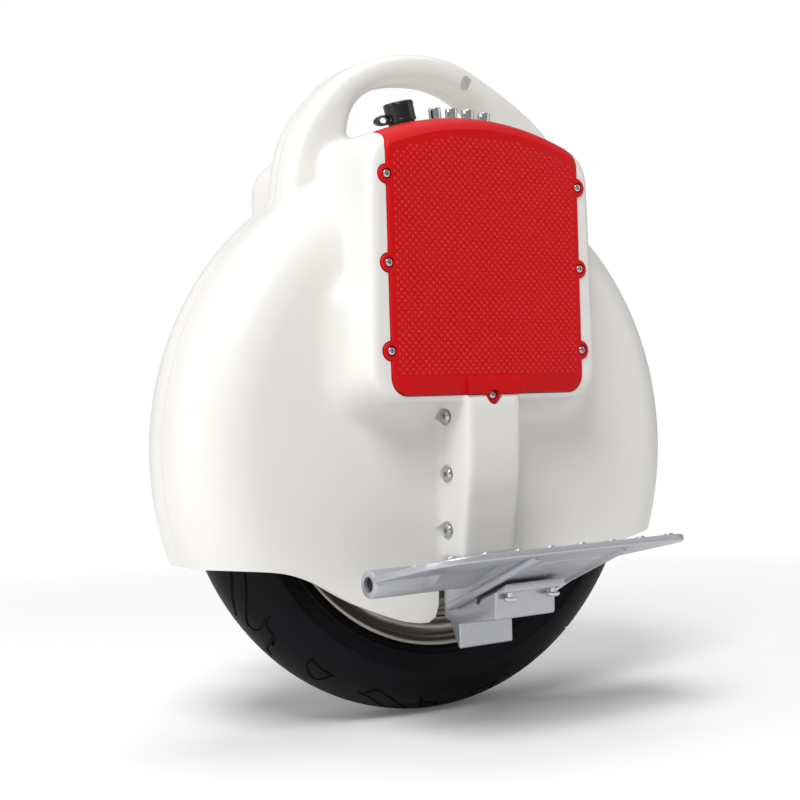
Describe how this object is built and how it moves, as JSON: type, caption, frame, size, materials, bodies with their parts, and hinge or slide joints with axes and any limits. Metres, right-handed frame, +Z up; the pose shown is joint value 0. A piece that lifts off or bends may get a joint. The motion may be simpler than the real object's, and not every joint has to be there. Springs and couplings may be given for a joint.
{
  "type": "electric unicycle",
  "caption": "Self-balancing electric unicycle: a hub-motor wheel in a moulded shell with a carrying handle, side covers, deck fittings and fold-up cast foot pedals.",
  "frame": {"origin": "on the ground under the axle, at the centre of the footprint", "axes": "+X is the direction of travel, +Z is up, the right-hand side is -Y"},
  "size_m": [0.3832, 0.3158, 0.4347],
  "materials": {
    "ivory_shell": "satin moulded",
    "red_cover": "satin moulded with a dot texture",
    "zinc_screw": "bright zinc",
    "cast_alloy": "silver painted casting",
    "steel_shaft": "machined",
    "rim_steel": "machined and lacquered",
    "tyre": "moulded",
    "magnet": "plated",
    "copper": "enamelled windings",
    "heatsink": "anodised",
    "circuit_board": "solder mask",
    "battery_wrap": "shrink wrap",
    "black_rubber": "satin",
    "chrome": "polished"
  },
  "bodies": {
    "body": {"shell_right": "ivory_shell", "side_cover_right": "red_cover", "cover_screw_right_1": "zinc_screw", "cover_screw_right_2": "zinc_screw", "cover_screw_right_3": "zinc_screw", "cover_screw_right_4": "zinc_screw", "cover_screw_right_5": "zinc_screw", "cover_screw_right_6": "zinc_screw", "cover_screw_right_7": "zinc_screw", "shell_screw_right_1": "zinc_screw", "shell_screw_right_2": "zinc_screw", "shell_screw_right_3": "zinc_screw", "hanger_right": "cast_alloy", "pedal_pin_right": "steel_shaft", "pedal_adjuster_right_1": "zinc_screw", "pedal_adjuster_right_2": "zinc_screw", "axle_nut_right": "steel_shaft", "shell_left": "ivory_shell", "side_cover_left": "red_cover", "cover_screw_left_1": "zinc_screw", "cover_screw_left_2": "zinc_screw", "cover_screw_left_3": "zinc_screw", "cover_screw_left_4": "zinc_screw", "cover_screw_left_5": "zinc_screw", "cover_screw_left_6": "zinc_screw", "cover_screw_left_7": "zinc_screw", "shell_screw_left_1": "zinc_screw", "shell_screw_left_2": "zinc_screw", "shell_screw_left_3": "zinc_screw", "hanger_left": "cast_alloy", "pedal_pin_left": "steel_shaft", "pedal_adjuster_left_1": "zinc_screw", "pedal_adjuster_left_2": "zinc_screw", "axle_nut_left": "steel_shaft", "stator": "copper", "axle": "steel_shaft", "controller_heatsink": "heatsink", "controller_board": "circuit_board", "battery_pack": "battery_wrap", "charge_port": "black_rubber", "led_1": "chrome", "led_2": "chrome", "led_3": "chrome", "led_4": "chrome", "power_button_bezel": "chrome"},
    "wheel": {"tyre": "tyre", "rim": "rim_steel", "magnet_ring": "magnet", "motor_cover_right": "rim_steel", "motor_cover_left": "rim_steel", "wheel_bearing_right": "steel_shaft", "wheel_bearing_left": "steel_shaft"},
    "right_pedal": {"pedal_right": "cast_alloy"},
    "left_pedal": {"pedal_left": "cast_alloy"},
    "port_cap": {"charge_port_cap": "black_rubber"},
    "button": {"power_button": "black_rubber"}
  },
  "joints": [
    {"name": "wheel_spin", "type": "hinge", "parent": "body", "child": "wheel", "pos_m": [0, 0, 0.178], "axis": [0, 1, 0], "continuous": true},
    {"name": "right_pedal_fold", "type": "hinge", "parent": "body", "child": "right_pedal", "pos_m": [0, -0.078, 0.0974], "axis": [-1, 0, 0], "range_deg": [0, 70]},
    {"name": "left_pedal_fold", "type": "hinge", "parent": "body", "child": "left_pedal", "pos_m": [0, 0.078, 0.0974], "axis": [1, 0, 0], "range_deg": [0, 70]},
    {"name": "charge_cap_pull", "type": "slide", "parent": "body", "child": "port_cap", "axis": [-0.2171, 0, 0.9762], "range_m": [0, 0.014]},
    {"name": "power_button_press", "type": "slide", "parent": "body", "child": "button", "axis": [-0.2439, 0, -0.9698], "range_m": [0, 0.0015], "stiffness_N_per_m": 400}
  ]
}
